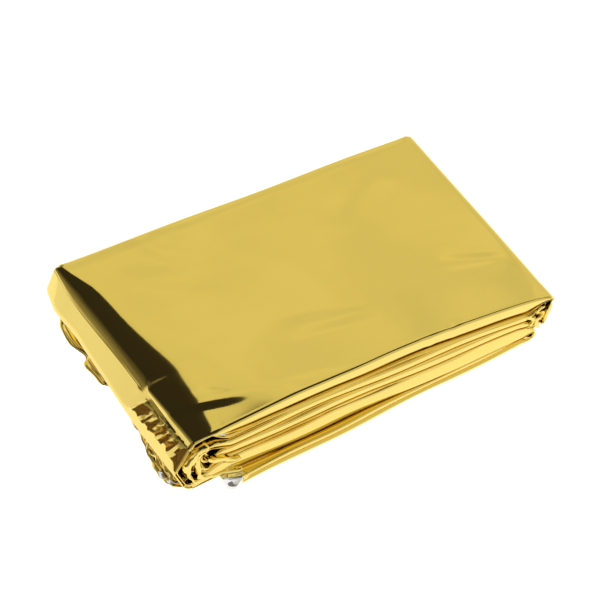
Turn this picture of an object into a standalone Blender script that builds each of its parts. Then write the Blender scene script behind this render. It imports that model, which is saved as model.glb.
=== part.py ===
"""Emergency foil blanket, folded into a pocket packet.

The blanket is one sheet of metallised film. It was gathered lengthwise into a strip as wide as the packet,
and the strip was then folded over and over itself. What is left is one long ribbon in seven flat runs that
lie on each other: its outer turn makes the tall creased wall at the left end, the other turns nest inside
the two ends, and the lowest run ends free under that wall.

X runs along the packet, left end at -X. Y runs across it, with the stack of fold edges at -Y. Z is up, and
the packet lies on Z = 0. Each run is a bundle of thin film, so the ribbon is as thick as such a bundle.
"""

import math
from collections import namedtuple

import bmesh
import bpy
from mathutils import Vector

MM = 0.001

# The packet and its runs
HALF_LENGTH = 60 * MM
HALF_WIDTH = 42.3 * MM
RUN_THICKNESS = 2.4 * MM
RUN_PITCH = 2.9 * MM
RUN_COUNT = 7
TURN_SHARE = 0.58         # a turn's thickness as a share of a run's
EDGE_SHARE = 0.45         # the fold along each long side is flattened to this share
EDGE_DEPTH = 0.9 * MM     # how far in from the long side the ribbon reaches its full thickness
THINNING = 3.5 * MM       # length of run over which it thins towards a turn
PUFF_PER_GAP = 0.36 * MM  # extra air between two runs, in the middle of the front edge
RIPPLE = 0.22 * MM        # height of the slow waves in the top run
RIPPLE_X = 9 * MM         # length of a wave along X and along Y, for each radian
RIPPLE_Y = 13 * MM
RIPPLE_SHIFT = 0.5        # where the waves start, in radians
CENTRE_X = 2.64 * MM      # moves the leaning left wall and the right end to equal distances from the origin
CENTRE_Y = 1.80 * MM      # the same for the front, where the lowest run sticks out, and the back

# How finely the ribbon is laid out
RUN_STEPS = 6
END_STEPS = 3
CORNER_STEPS = 4
ACROSS = (0.06, 0.11, 0.2, 0.34, 0.46, 0.58, 0.7, 0.84)

# Runs in the order in which the ribbon passes through them, from its free end under the packet to the one
# inside. Front and back are where the long sides lie, in millimetres along Y; level 1 is the lowest.
Run = namedtuple("Run", "level front_left front_middle front_right back_left back_right")
RUNS = (
    Run(1, -47.8, -42.0, -36.3, 41.6, 42.6),
    Run(2, -43.5, -40.6, -37.6, 42.2, 42.0),
    Run(7, -42.4, -39.7, -40.8, 43.3, 42.6),
    Run(3, -43.2, -40.8, -38.4, 41.5, 42.5),
    Run(6, -42.2, -40.9, -40.2, 42.6, 41.7),
    Run(4, -42.6, -40.9, -39.2, 42.0, 42.7),
    Run(5, -42.4, -40.8, -39.7, 41.6, 41.9),
)

# Turns between one run and the next, in the same order. Each is a path over its corners, from the lower run
# up to the higher one: the share of its height and the place along X, in millimetres, at the front and at the
# back of the packet, how far from the corner its rounding starts, and how unevenly its crease runs.
Turn = namedtuple("Turn", "side corners")
Corner = namedtuple("Corner", "share_front x_front share_back x_back cut wave", defaults=(0.0,))
TURNS = (
    Turn(1, (Corner(0, 56.0, 0, 58.6, 1.85), Corner(1, 56.0, 1, 58.6, 1.85))),
    Turn(-1, (
        Corner(0, -60.4, 0, -60.2, 2.0),
        Corner(0.41, -65.4, 0.58, -63.9, 2.2, 0.3),
        Corner(1, -59.5, 1, -59.9, 1.6),
    )),
    Turn(1, (
        Corner(0, 56.4, 0, 57.6, 1.6),
        Corner(0.8, 60.4, 0.8, 60.5, 1.6),
        Corner(1, 60.2, 1, 60.4, 1.5),
    )),
    Turn(-1, (
        Corner(0, -57.0, 0, -56.0, 2.0),
        Corner(0.42, -62.0, 0.56, -60.0, 2.2, 0.4),
        Corner(1, -56.4, 1, -56.0, 1.8),
    )),
    Turn(1, (
        Corner(0, 54.8, 0, 55.4, 1.8),
        Corner(0.55, 56.6, 0.55, 57.2, 1.4),
        Corner(1, 55.8, 1, 56.6, 1.8),
    )),
    Turn(-1, (Corner(0, -57.2, 0, -54.8, 1.85), Corner(1, -56.8, 1, -54.6, 1.85))),
)
CREASE_WAVE = 17.0      # waves of an uneven crease: radians from front to back
INNER_END_BACK = 51.0 * MM
INNER_END_FRONT = 49.5 * MM

# Places where a run's front fold is pushed in, in millimetres along X and Y.
Tuck = namedtuple("Tuck", "level x spread depth")
TUCKS = (
    Tuck(6, -55.0, 7.0, 4.0),
    Tuck(5, -53.0, 5.0, 1.6),
)

# The free end of the lowest run: share of the way from front to back, where it ends along X, and how far it
# curls up, in millimetres. The front corner is turned back, and the rest peeps out under the left wall.
FreeEnd = namedtuple("FreeEnd", "across x curl")
FREE_END = (
    FreeEnd(0.0, -50.5, 0.9),
    FreeEnd(0.06, -52.8, 0.4),
    FreeEnd(0.11, -66.2, 0.2),
    FreeEnd(0.2, -66.4, 1.1),
    FreeEnd(0.34, -65.4, 0.5),
    FreeEnd(0.46, -64.0, 1.0),
    FreeEnd(0.58, -65.0, 0.6),
    FreeEnd(0.7, -63.0, 1.1),
    FreeEnd(0.84, -63.0, 0.6),
    FreeEnd(1.0, -61.9, 0.4),
)
FREE_END_START = -47 * MM

FOIL_GOLD = (0.83, 0.60, 0.16, 1.0)
FOIL_ROUGHNESS = 0.12


def mix(first, last, share):
    return first + (last - first) * share


def ease(share):
    """Smooth step from 0 to 1."""
    share = min(max(share, 0.0), 1.0)
    return share * share * (3 - 2 * share)


def on_table(rows, key, column, at):
    """Value of a column of a table at a key between its rows, on straight lines."""
    for low, high in zip(rows, rows[1:]):
        if at <= getattr(high, key):
            span = getattr(high, key) - getattr(low, key)
            share = max(at - getattr(low, key), 0.0) / span
            return mix(getattr(low, column), getattr(high, column), share)
    return getattr(rows[-1], column)


def run_height(level, x, y):
    """Height of the middle of a run's thickness. The air between the runs grows towards the front middle."""
    across = min(max(0.5 - 0.5 * y / HALF_WIDTH, 0.0), 1.0)
    puff = max(1 - (x / HALF_LENGTH) ** 2, 0.0) * across**2
    wave = math.sin(x / RIPPLE_X + RIPPLE_SHIFT) * math.cos(y / RIPPLE_Y + RIPPLE_SHIFT)
    above = level - 1
    rise = above * (RUN_PITCH + PUFF_PER_GAP * puff)
    return RUN_THICKNESS / 2 + rise + RIPPLE * wave * above / RUN_COUNT


def run_edges(run, x):
    """Y of the run's front and back long side at this X."""
    share = min(max(0.5 + 0.5 * x / HALF_LENGTH, 0.0), 1.0)
    ends = mix(run.front_left, run.front_right, share)
    bow = run.front_middle - (run.front_left + run.front_right) / 2
    front = ends + bow * 4 * share * (1 - share)
    for tuck in TUCKS:
        if tuck.level == run.level:
            front += tuck.depth * ease(1 - abs(x / MM - tuck.x) / tuck.spread)
    return front * MM, mix(run.back_left, run.back_right, share) * MM


def turn_start(turn, high, across):
    """X at which the flat run ends and the turn begins."""
    corner = turn.corners[-1 if high else 0]
    return (mix(corner.x_front, corner.x_back, across) - turn.side * corner.cut) * MM


def run_stations(first, last):
    """Shares of the run's length at which the ribbon gets a row: closer near its ends."""
    length = abs(last - first)
    near = [THINNING * step / END_STEPS / length for step in range(END_STEPS)]
    start = THINNING / length
    middle = [mix(start, 1 - start, step / RUN_STEPS) for step in range(RUN_STEPS + 1)]
    return near + middle + [1 - share for share in reversed(near)]


def thinned(run, index, x, first, last):
    """(share of the full thickness, lean up or down) where a run thins towards the turns at its ends.

    It leans to the outside of the turn, so that its outer face stays level up to the turn.
    """
    share = 1.0
    lean = 0.0
    for turn_index, end in ((index - 1, first), (index, last)):
        if not 0 <= turn_index < len(TURNS):
            continue
        other = RUNS[turn_index] if turn_index < index else RUNS[turn_index + 1]
        near = 1 - ease(abs(x - end) / THINNING)
        share = min(share, mix(1.0, TURN_SHARE, near))
        lean += near if run.level > other.level else -near
    return share, lean * (1 - TURN_SHARE) * RUN_THICKNESS / 2


def run_ends(index, across):
    """X at which the run starts and stops, in the ribbon's own direction."""
    run = RUNS[index]
    if index == 0:
        first = on_table(FREE_END, "across", "x", across) * MM
    else:
        turn = TURNS[index - 1]
        first = turn_start(turn, run.level > RUNS[index - 1].level, across)
    if index == len(RUNS) - 1:
        last = mix(INNER_END_FRONT, INNER_END_BACK, across)
    else:
        last = turn_start(TURNS[index], run.level > RUNS[index + 1].level, across)
    return first, last


def run_points(index, across):
    """[(x, y, z, thickness share)] along one run, at this share of the way from its front to its back."""
    run = RUNS[index]
    first, last = run_ends(index, across)
    points = []
    if index == 0:
        for step in range(END_STEPS + 1):
            share = step / (END_STEPS + 1)
            x = mix(first, FREE_END_START, share)
            front, back = run_edges(run, x)
            curl = on_table(FREE_END, "across", "curl", across) * MM * (1 - share) ** 2
            thickness = mix(TURN_SHARE, 1.0, ease(share))
            z = RUN_THICKNESS / 2 * thickness + curl
            points.append((x, mix(front, back, across), z, thickness))
        first = FREE_END_START
    for share in run_stations(first, last):
        x = mix(first, last, share)
        front, back = run_edges(run, x)
        y = mix(front, back, across)
        thickness, lean = thinned(run, index, x, first, last)
        points.append((x, y, run_height(run.level, x, y) + lean, thickness))
    return points


def turn_points(index, start, end, across):
    """Points of the turn from the end of one run to the start of the next, round each of its corners."""
    low, high = (start, end) if end[2] > start[2] else (end, start)
    corners = []
    for corner in TURNS[index].corners:
        share = mix(corner.share_front, corner.share_back, across)
        x = mix(corner.x_front, corner.x_back, across) + corner.wave * math.sin(CREASE_WAVE * across)
        corners.append(Vector((x * MM, mix(low[1], high[1], share), mix(low[2], high[2], share))))
    path = [Vector(low[:3])] + corners + [Vector(high[:3])]
    points = []
    for i, corner in enumerate(TURNS[index].corners, start=1):
        before = path[i] + (path[i - 1] - path[i]).normalized() * corner.cut * MM
        after = path[i] + (path[i + 1] - path[i]).normalized() * corner.cut * MM
        for step in range(CORNER_STEPS):
            share = (step + 0.5) / CORNER_STEPS
            point = before.lerp(path[i], share).lerp(path[i].lerp(after, share), share)
            points.append((*point, TURN_SHARE))
    return points if low is start else points[::-1]


def ribbon_column(across):
    """All the points of the ribbon at one share of the way from front to back."""
    points = run_points(0, across)
    for index in range(1, len(RUNS)):
        following = run_points(index, across)
        points += turn_points(index - 1, points[-1], following[0], across)
        points += following
    return points


def make_foil_material():
    """Gold metallised film."""
    material = bpy.data.materials.new("gold_foil")
    material.use_nodes = True
    shader = material.node_tree.nodes["Principled BSDF"]
    shader.inputs["Base Color"].default_value = FOIL_GOLD
    shader.inputs["Metallic"].default_value = 1.0
    shader.inputs["Roughness"].default_value = FOIL_ROUGHNESS
    return material


def ribbon_mesh():
    """The open surface through the middle of the ribbon, with each point's thickness as its weight."""
    edge = EDGE_DEPTH / (2 * HALF_WIDTH)
    stations = (0.0, edge) + ACROSS + (1 - edge, 1.0)
    sheet = bmesh.new()
    weights = sheet.verts.layers.deform.verify()
    rows = []
    for across in stations:
        side_share = EDGE_SHARE if across in (0.0, 1.0) else 1.0
        row = []
        for x, y, z, thickness in ribbon_column(across):
            vert = sheet.verts.new((x + CENTRE_X, y + CENTRE_Y, z))
            vert[weights][0] = thickness * side_share
            row.append(vert)
        for vert in (row[0], row[-1]):
            vert[weights][0] *= EDGE_SHARE
        rows.append(row)
    for near, far in zip(rows, rows[1:]):
        for i in range(len(near) - 1):
            face = sheet.faces.new((near[i], near[i + 1], far[i + 1], far[i]))
            face.smooth = True
    mesh = bpy.data.meshes.new("folded_blanket")
    sheet.to_mesh(mesh)
    sheet.free()
    return mesh


def make_folded_blanket(collection):
    """The ribbon's surface, made solid by Solidify, which spreads each point's thickness to both sides."""
    blanket = bpy.data.objects.new("folded_blanket", ribbon_mesh())
    collection.objects.link(blanket)
    blanket.vertex_groups.new(name="thickness")
    solid = blanket.modifiers.new("film bundle", "SOLIDIFY")
    solid.thickness = RUN_THICKNESS
    solid.offset = 0.0
    solid.use_even_offset = True
    solid.vertex_group = "thickness"
    blanket.data.materials.append(make_foil_material())


def main():
    for leftover in list(bpy.data.objects):
        bpy.data.objects.remove(leftover)
    collection = bpy.data.collections.new("emergency_foil_blanket")
    bpy.context.scene.collection.children.link(collection)
    make_folded_blanket(collection)


main()
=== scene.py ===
# %% [markdown]
# # An emergency foil blanket, folded to fit a pocket
#
# An emergency blanket is one sheet of plastic film, far thinner than paper, with a mirror of metal on it.
# One side is lacquered gold and the other is left silver. At the factory both long sides are folded in to
# the middle and the sheet is closed like a book, which leaves a narrow strip. The strip is then folded
# over and over itself until it is the size of a hand.
#
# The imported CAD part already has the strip's path as one thick ribbon. This lesson lays the real thing
# along that path: a thin film with its own inner layers, creases and crumples, gold outside and silver
# inside.

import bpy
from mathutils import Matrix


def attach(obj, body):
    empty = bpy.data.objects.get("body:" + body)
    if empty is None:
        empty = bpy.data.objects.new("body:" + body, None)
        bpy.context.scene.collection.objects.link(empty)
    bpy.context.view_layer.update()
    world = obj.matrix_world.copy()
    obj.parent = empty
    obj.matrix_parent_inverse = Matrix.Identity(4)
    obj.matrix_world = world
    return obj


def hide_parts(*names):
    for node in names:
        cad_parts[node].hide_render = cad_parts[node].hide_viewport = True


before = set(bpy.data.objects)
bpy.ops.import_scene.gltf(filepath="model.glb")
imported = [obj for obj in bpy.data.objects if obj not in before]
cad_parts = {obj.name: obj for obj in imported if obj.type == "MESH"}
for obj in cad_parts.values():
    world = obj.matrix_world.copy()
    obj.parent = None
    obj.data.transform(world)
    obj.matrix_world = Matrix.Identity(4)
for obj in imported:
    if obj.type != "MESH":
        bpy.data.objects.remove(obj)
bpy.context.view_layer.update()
print("CAD node:", sorted(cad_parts))

# %% Python's and Blender's modules
import math
from collections import namedtuple

import bpy
from mathutils import Vector, noise

MM = 0.001

# %% [markdown]
# ## The camera
#
# The camera comes first, because each later step is judged through it. The photograph was taken from a
# long way off with a long lens, so parallel edges hardly run together. Two angles, a distance and the
# shift of the packet from the middle of the picture are all that it takes.

# %% Camera
PICTURE = 600                 # width and height of the picture, in pixels
PIXELS_PER_MM = 3.36          # at the packet
PACKET_AT = (305.98, 331.06)  # pixel on which the packet's own centre falls
AZIMUTH = math.radians(-29.67)
ELEVATION = math.radians(43.81)
DISTANCE = 1.3
SENSOR_MM = 36.0
CENTRE_X = 2.64               # from the packet's own centre to the CAD origin, in millimetres
CENTRE_Y = 1.80


def camera_axes():
    """Unit vectors to the back of the camera, to its right and up."""
    back = Vector((
        math.sin(AZIMUTH) * math.cos(ELEVATION),
        -math.cos(AZIMUTH) * math.cos(ELEVATION),
        math.sin(ELEVATION),
    ))
    right = Vector((math.cos(AZIMUTH), math.sin(AZIMUTH), 0.0))
    return back, right, back.cross(right)


def add_camera():
    back, right, up = camera_axes()
    packet_centre = Vector((CENTRE_X, CENTRE_Y, 0.0)) * MM
    across = -(PACKET_AT[0] - PICTURE / 2) / PIXELS_PER_MM * MM
    higher = (PACKET_AT[1] - PICTURE / 2) / PIXELS_PER_MM * MM
    target = packet_centre + right * across + up * higher
    data = bpy.data.cameras.new("studio camera")
    data.sensor_width = SENSOR_MM
    data.lens = PIXELS_PER_MM / MM * DISTANCE / PICTURE * SENSOR_MM
    camera = bpy.data.objects.new("studio camera", data)
    camera.location = packet_centre + back * DISTANCE
    camera.rotation_mode = "QUATERNION"
    camera.rotation_quaternion = (camera.location - target).to_track_quat("Z", "Y")
    bpy.context.scene.collection.objects.link(camera)
    bpy.context.scene.camera = camera
    print("lens:", round(data.lens), "mm")


add_camera()

# %% [markdown]
# ## Small helpers
#
# Nearly all of the shape is mixing: a value that changes evenly between two places, or smoothly, or along
# the rows of a short table. Three small functions do all of it.

# %% Mixing, easing and reading a table


def mix(first, last, share):
    return first + (last - first) * share


def ease(share):
    """Smooth step from 0 to 1."""
    share = min(max(share, 0.0), 1.0)
    return share * share * (3 - 2 * share)


def along(table, at):
    """Value at a place on the smooth curve through the (place, value) rows of a table."""
    places = [row[0] for row in table]
    values = [row[1] for row in table]
    last = len(table) - 1
    slopes = []
    for i in range(len(table)):
        low, high = max(i - 1, 0), min(i + 1, last)
        slopes.append((values[high] - values[low]) / (places[high] - places[low]))
    at = min(max(at, places[0]), places[-1])
    i = max(k for k in range(last) if places[k] <= at)
    length = places[i + 1] - places[i]
    share = (at - places[i]) / length
    bend = share * (1 - share) * length
    straight = mix(values[i], values[i + 1], ease(share))
    return straight + bend * ((1 - share) * slopes[i] - share * slopes[i + 1])


# %% [markdown]
# ## The strip's path: seven flat runs
#
# The folded strip passes seven times over itself. Each pass is a flat run, and the table says at which
# level it lies and where its two long sides are, in millimetres from the packet's centre. The runs are
# those of the CAD part, so that the film lies where the solid is, with the front edges set a little
# closer to the photograph.
#
# The runs follow in the order in which the strip passes them, not from the bottom up. The strip starts
# under the packet, turns back over itself, climbs the left end to the top, and from there nests inside
# itself.

# %% Runs
HALF_LENGTH = 60.0
HALF_WIDTH = 42.3
STRIP_THICKNESS = 2.4
LEVEL_PITCH = 2.9
LEVELS = 7
PUFF_PER_GAP = 0.36            # air between two runs at the front middle
RIPPLE = 0.22                  # how far the top of the stack is out of level
RIPPLE_X, RIPPLE_Y = 9.0, 13.0

Run = namedtuple("Run", "level front_left front_middle front_right back_left back_right")
RUNS = (
    Run(1, -47.8, -42.0, -36.3, 41.6, 42.6),
    Run(2, -43.5, -40.6, -37.6, 42.2, 42.0),
    Run(7, -42.4, -41.1, -40.8, 43.3, 42.6),
    Run(3, -42.4, -39.9, -37.6, 41.5, 42.5),
    Run(6, -41.9, -40.3, -39.6, 42.6, 41.7),
    Run(4, -42.6, -40.9, -39.2, 42.0, 42.7),
    Run(5, -42.4, -40.8, -39.7, 41.6, 41.9),
)


def run_height(level, x, y):
    """Height of the middle of a run, with more air between the runs towards the front middle."""
    across = min(max(0.5 - 0.5 * y / HALF_WIDTH, 0.0), 1.0)
    puff = max(1 - (x / HALF_LENGTH) ** 2, 0.0) * across**2
    wave = math.sin(x / RIPPLE_X + 0.5) * math.cos(y / RIPPLE_Y + 0.5)
    rise = (level - 1) * (LEVEL_PITCH + PUFF_PER_GAP * puff)
    return STRIP_THICKNESS / 2 + rise + RIPPLE * wave * (level - 1) / LEVELS


# The top run's front edge, measured: (X, Y of the edge, how much the film stands up there).
TOP_FRONT = (
    (-60.0, -42.4, 0.0), (-48.0, -41.7, 0.1), (-28.0, -41.1, 0.3), (-17.0, -41.1, 0.2), (-6.0, -41.0, 0.3),
    (6.0, -40.4, 0.6), (17.0, -40.3, 0.8), (38.0, -40.6, 0.6), (48.0, -40.6, 0.5), (55.0, -40.7, 0.4),
    (60.0, -41.0, 0.0),
)
TUCKS = {6: (-55.0, 7.0, 4.0), 5: (-53.0, 5.0, 1.6)}  # level: middle along X, half length, depth


def run_edges(run, x):
    """Y of the run's front and back long side at this X."""
    share = min(max(0.5 + 0.5 * x / HALF_LENGTH, 0.0), 1.0)
    bow = run.front_middle - (run.front_left + run.front_right) / 2
    front = mix(run.front_left, run.front_right, share) + bow * 4 * share * (1 - share)
    if run.level == LEVELS:
        front = along([(row[0], row[1]) for row in TOP_FRONT], x)
    if run.level in TUCKS:
        middle, spread, depth = TUCKS[run.level]
        front += depth * ease(1 - abs(x - middle) / spread)
    return front, mix(run.back_left, run.back_right, share)


print("runs, from the strip's free end:", [run.level for run in RUNS])

# %% [markdown]
# ## The turns between the runs
#
# At each end of a run the strip turns up or down to another level. A turn is drawn as a short path with
# two or three corners, each rounded with a quadratic curve, the simplest curve that leaves one line and
# meets the next without a kink. The corner sits at a share of the turn's height, which may differ between
# front and back.
#
# The turn from level 2 up to level 7 is the tall wall at the left end. A sharp crease runs along the
# middle of it. Its top is not at the packet's full height: between the two upper corners, which stand up
# stiffly, the film has rolled over into a long soft shoulder. That shoulder is what mirrors the dark side
# of the room.

# %% Turns
Corner = namedtuple("Corner", "share_front x_front share_back x_back cut")
Turn = namedtuple("Turn", "side corners")
TURNS = (
    Turn(1, (Corner(0, 57.2, 0, 58.6, 1.85), Corner(1, 56.8, 1, 58.6, 1.85))),
    Turn(-1, (
        Corner(0, -63.6, 0, -60.8, 1.6),
        Corner(0.45, -65.6, 0.58, -63.9, 0.9),
        Corner(1, -59.5, 1, -60.9, 1.6),
    )),
    Turn(1, (
        Corner(0, 56.4, 0, 57.6, 1.6),
        Corner(0.8, 60.4, 0.8, 60.5, 1.6),
        Corner(1, 60.2, 1, 60.4, 1.5),
    )),
    Turn(-1, (
        Corner(0, -57.0, 0, -56.0, 2.0),
        Corner(0.42, -62.0, 0.56, -60.0, 1.4),
        Corner(1, -56.4, 1, -56.0, 1.8),
    )),
    Turn(1, (
        Corner(0, 54.8, 0, 55.4, 1.8),
        Corner(0.55, 56.6, 0.55, 57.2, 1.4),
        Corner(1, 55.8, 1, 56.6, 1.8),
    )),
    Turn(-1, (Corner(0, -57.2, 0, -54.8, 1.85), Corner(1, -56.8, 1, -54.6, 1.85))),
)
WALL = 1   # number of the turn that makes the left wall
TOP = 2    # number of the run on top

# The shoulder, by Y: where it starts along X, and how far below the packet's top it meets the wall.
SHOULDER_START = (
    (-43.0, -55.3), (-41.0, -50.7), (-38.5, -49.3), (-35.0, -48.4), (-31.0, -47.0), (-28.0, -46.3),
    (-20.0, -46.9), (-11.5, -47.0), (-3.0, -49.6), (9.6, -52.4), (27.5, -54.2), (34.4, -56.8), (40.0, -58.9),
    (43.0, -60.0),
)
SHOULDER_DROP = (
    (-43.0, 2.2), (-37.0, 2.5), (-31.0, 2.9), (-26.0, 3.1), (-20.0, 2.8), (-11.0, 2.4), (5.0, 2.1),
    (20.0, 2.1), (30.0, 1.8), (36.0, 1.2), (43.0, 0.3),
)
# By Y: how much further out the wall's crease stands than in the table of turns.
WALL_BULGE = (
    (-44.0, 1.2), (-40.0, 1.4), (-30.0, 1.8), (-20.0, 2.0), (-6.0, 1.7), (12.0, 1.4), (23.0, 1.1),
    (28.0, 1.6), (33.0, 2.0), (38.0, 1.2), (43.5, 0.0),
)
SHOULDER_HOOK = 0.3            # how much of the shoulder's drop is kept for its last bit before the wall
EDGE_SHARE = 0.8               # place on the shoulder of the sharp edge that runs to the front corner
EDGE_FROM = -14.0              # Y where that edge begins
EDGE_LENGTH = 28.4
EDGE_FADE = 5.0                # length over which it begins
EDGE_X = (-61.0, -60.2)        # its X and its drop, where it begins and at the corner
EDGE_DROP = (1.5, 1.0)
FOOT_STEP = (-1.1, -2.0)       # from the edge to the foot of the bright facet below it, at the corner
FOOT_START = 0.12              # share of that step where the edge begins
SHOULDER_SHARES = (            # places of its points, from the wall up to the flat top
    0.99, 0.96, 0.93, 0.91, 0.895, 0.87, 0.84, 0.81, 0.79, 0.75, 0.68, 0.6, 0.5, 0.4, 0.3, 0.2, 0.1,
)
RIDGE_GROOVE = 0.13            # the ridge is a tiny groove, and that shows as one dark line
WALL_STEPS = 9                 # points between the wall's crease and the ridge above it
RIDGE_WIDTH = 0.25             # how wide the ridge is creased
WALL_LEAN = (0.72, 0.9)        # how far the wall leans out for each millimetre down, behind and in front
WALL_LEAN_FADE = 20.0          # length over which one turns into the other
TURN_SHARE = 0.58              # thickness in a turn, as a share of a flat run's
THINNING = 3.5                 # length over which a run thins before a turn
FREE_END_START = -47.0         # X where the free end begins
FREE_END_STEPS = 10
FREE_END = (                   # share of the way from front to back, end along X, curl up
    (0.0, -45.0, 0.9), (0.035, -46.5, 0.4), (0.06, -52.0, 0.2), (0.14, -61.0, 0.2), (0.5, -61.0, 0.5),
    (1.0, -60.0, 0.4),
)
INNER_END_FRONT = 52.6         # X of the strip's inner end, in front and behind
INNER_END_BACK = 51.0


def free_end(across):
    """(end along X, curl) of the lowest run's free end."""
    for low, high in zip(FREE_END, FREE_END[1:]):
        if across <= high[0]:
            share = (across - low[0]) / (high[0] - low[0])
            return mix(low[1], high[1], share), mix(low[2], high[2], share)
    return FREE_END[-1][1:]


print("turns:", len(TURNS), "and the tall wall is number", WALL + 1)

# %% [markdown]
# ## From the tables to one line
#
# At any place between the front and the back of the packet the strip is one long line of points, each
# with the strip's thickness there. Runs and turns take turns along it. The same number of points goes
# into every line, so that neighbouring lines can later be joined into a grid.

# %% One line of the strip
MIDDLE_STEPS = {1: 22, 2: 18, 3: 18, 4: 18, 5: 18, 6: 20, 7: 44}  # steps in the middle of a run, by level
CLOSE_STEPS = 4        # points in the thinning at each end of a run
NEAR_STEPS = 7         # points in the next stretch, where the film is creased by the turn
NEAR_LENGTH = 9.0
CORNER_STEPS = 5
STRAIGHT_STEPS = 5


def turn_start(number, high, across):
    """X at which a flat run ends and its turn begins."""
    turn = TURNS[number]
    corner = turn.corners[-1 if high else 0]
    return mix(corner.x_front, corner.x_back, across) - turn.side * corner.cut


def thinned(number, x, first, last):
    """(share of the full thickness, lean up or down) where a run thins towards the turns at its ends."""
    run = RUNS[number]
    share = 1.0
    lean = 0.0
    for other_number, end in ((number - 1, first), (number + 1, last)):
        if not 0 <= other_number < len(RUNS):
            continue
        near = 1 - ease(abs(x - end) / THINNING)
        share = min(share, mix(1.0, TURN_SHARE, near))
        lean += near if run.level > RUNS[other_number].level else -near
    return share, lean * (1 - TURN_SHARE) * STRIP_THICKNESS / 2


def run_stations(first, last, level):
    """Shares of the run's length at which the strip gets a point: closer near its ends."""
    length = abs(last - first)
    shares = [THINNING * step / CLOSE_STEPS / length for step in range(CLOSE_STEPS)]
    shares += [(THINNING + NEAR_LENGTH * step / NEAR_STEPS) / length for step in range(NEAR_STEPS)]
    start = (THINNING + NEAR_LENGTH) / length
    middle = [mix(start, 1 - start, step / MIDDLE_STEPS[level]) for step in range(MIDDLE_STEPS[level] + 1)]
    return shares + middle + [1 - share for share in reversed(shares)]


def run_line(number, across):
    """[(x, y, z, thickness share)] along one flat run."""
    run = RUNS[number]
    points = []
    if number == 0:
        end, curl = free_end(across)
        for step in range(FREE_END_STEPS):
            share = step / FREE_END_STEPS
            x = mix(end, FREE_END_START, share)
            front, back = run_edges(run, x)
            thickness = mix(TURN_SHARE, 1.0, ease(share))
            z = STRIP_THICKNESS / 2 * thickness + curl * (1 - share) ** 2
            points.append((x, mix(front, back, across), z, thickness))
        first = FREE_END_START
    else:
        first = turn_start(number - 1, run.level > RUNS[number - 1].level, across)
    if number == len(RUNS) - 1:
        last = mix(INNER_END_FRONT, INNER_END_BACK, across)
    else:
        last = turn_start(number, run.level > RUNS[number + 1].level, across)
    if number == TOP:
        first = along(SHOULDER_START, mix(-HALF_WIDTH, HALF_WIDTH, across))
    for share in run_stations(first, last, run.level):
        x = mix(first, last, share)
        front, back = run_edges(run, x)
        y = mix(front, back, across)
        thickness, lean = thinned(number, x, first, last)
        points.append((x, y, run_height(run.level, x, y) + lean, thickness))
    return points


def rounded_path(path, cuts):
    """Points along a path of straight pieces, with each inner corner rounded."""
    points = []
    leaving = path[0]
    for i, cut in enumerate(cuts, start=1):
        before = path[i] + (path[i - 1] - path[i]).normalized() * cut
        after = path[i] + (path[i + 1] - path[i]).normalized() * cut
        if i > 1:
            points += [leaving.lerp(before, step / STRAIGHT_STEPS) for step in range(1, STRAIGHT_STEPS)]
        for step in range(CORNER_STEPS + 1):
            share = step / CORNER_STEPS
            points.append(before.lerp(path[i], share).lerp(path[i].lerp(after, share), share))
        leaving = after
    return points


def shoulder_line(ridge, high):
    """Points of the shoulder from the ridge up to the flat top."""
    run = Vector((ridge.x - high[0], 0.0, 0.0))
    drop = Vector((0.0, 0.0, ridge.z - high[2]))
    start = Vector(high[:3])
    sharp = ease((EDGE_FROM + EDGE_FADE / 2 - high[1]) / EDGE_FADE)
    along_edge = min(max((EDGE_FROM - high[1]) / EDGE_LENGTH, 0.0), 1.0)
    edge_drop = mix(*EDGE_DROP, along_edge)
    edge = Vector((mix(*EDGE_X, along_edge), high[1], high[2] - edge_drop))
    foot = edge + Vector((FOOT_STEP[0], 0.0, FOOT_STEP[1])) * mix(FOOT_START, 1.0, along_edge)
    points = []
    for share in SHOULDER_SHARES:
        soft = start + run * share + drop * mix(share**2, share**8, SHOULDER_HOOK)
        if share >= EDGE_SHARE:
            beyond = (share - EDGE_SHARE) / (1 - EDGE_SHARE)
            creased = edge.lerp(foot, 2 * beyond) if beyond < 0.5 else foot.lerp(ridge, 2 * beyond - 1)
        else:
            creased = start.lerp(edge, share / EDGE_SHARE)
            creased.z = start.z - edge_drop * (share / EDGE_SHARE) ** 2
        points.append(soft.lerp(creased, sharp))
    return points


def turn_line(number, start, end, across):
    """[(x, y, z, thickness share)] from the end of one run to the start of the next."""
    low, high = (start, end) if end[2] > start[2] else (end, start)
    path = [Vector(low[:3])]
    for corner in TURNS[number].corners:
        share = mix(corner.share_front, corner.share_back, across)
        x = mix(corner.x_front, corner.x_back, across)
        y = mix(low[1], high[1], share)
        if number == WALL and 0 < share < 1:
            x -= along(WALL_BULGE, y)
        path.append(Vector((x, y, mix(low[2], high[2], share))))
    cuts = [corner.cut for corner in TURNS[number].corners]
    if number == WALL:
        drop = along(SHOULDER_DROP, high[1])
        lean = mix(*WALL_LEAN, ease((EDGE_FROM - high[1]) / WALL_LEAN_FADE))
        ridge = path[-1] + Vector((-lean * drop, 0.0, -drop))
        path[-1] = ridge
        points = rounded_path(path, cuts[:-1])
        last = points[-1]
        rise = (ridge - last).length
        points += [last.lerp(ridge, step / WALL_STEPS) for step in range(1, WALL_STEPS)]
        points.append(ridge.lerp(last, RIDGE_WIDTH / rise))
        points.append(ridge + Vector((RIDGE_GROOVE * 0.6, 0.0, -RIDGE_GROOVE * 0.8)))
        points += shoulder_line(ridge, high)
    else:
        path.append(Vector(high[:3]))
        points = rounded_path(path, cuts)[1:-1]
    line = [(*point, TURN_SHARE) for point in points]
    return line if low is start else line[::-1]


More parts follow.
